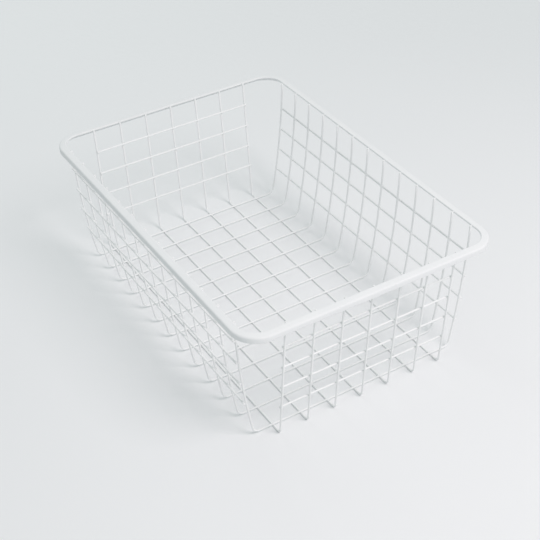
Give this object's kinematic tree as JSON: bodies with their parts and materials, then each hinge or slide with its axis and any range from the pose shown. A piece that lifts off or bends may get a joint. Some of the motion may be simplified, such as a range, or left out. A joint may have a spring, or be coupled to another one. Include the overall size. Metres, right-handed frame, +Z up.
{
  "type": "wire basket",
  "caption": "Open rectangular drawer basket of welded white steel wire with leaning walls, open corners and a formed rim that carries it.",
  "frame": {"origin": "on the standing surface, below the middle of the basket", "axes": "+Z up, +Y along the basket's length, +X across it"},
  "size_m": [0.3588, 0.5188, 0.1876],
  "materials": {
    "wire_coat": "satin white powder coat on steel wire",
    "rim_coat": "satin white powder coat on formed steel strip"
  },
  "bodies": {
    "root": {"rim": "rim_coat", "cross_wire_01": "wire_coat", "cross_wire_02": "wire_coat", "cross_wire_03": "wire_coat", "cross_wire_04": "wire_coat", "cross_wire_05": "wire_coat", "cross_wire_06": "wire_coat", "cross_wire_07": "wire_coat", "cross_wire_08": "wire_coat", "cross_wire_09": "wire_coat", "cross_wire_10": "wire_coat", "cross_wire_11": "wire_coat", "cross_wire_12": "wire_coat", "cross_wire_13": "wire_coat", "long_wire_01": "wire_coat", "long_wire_02": "wire_coat", "long_wire_03": "wire_coat", "long_wire_04": "wire_coat", "long_wire_05": "wire_coat", "long_wire_06": "wire_coat", "long_wire_07": "wire_coat", "left_rail_01": "wire_coat", "left_rail_02": "wire_coat", "left_rail_03": "wire_coat", "left_rail_04": "wire_coat", "right_rail_01": "wire_coat", "right_rail_02": "wire_coat", "right_rail_03": "wire_coat", "right_rail_04": "wire_coat", "front_rail_01": "wire_coat", "front_rail_02": "wire_coat", "front_rail_03": "wire_coat", "front_rail_04": "wire_coat", "back_rail_01": "wire_coat", "back_rail_02": "wire_coat", "back_rail_03": "wire_coat", "back_rail_04": "wire_coat"}
  },
  "joints": []
}
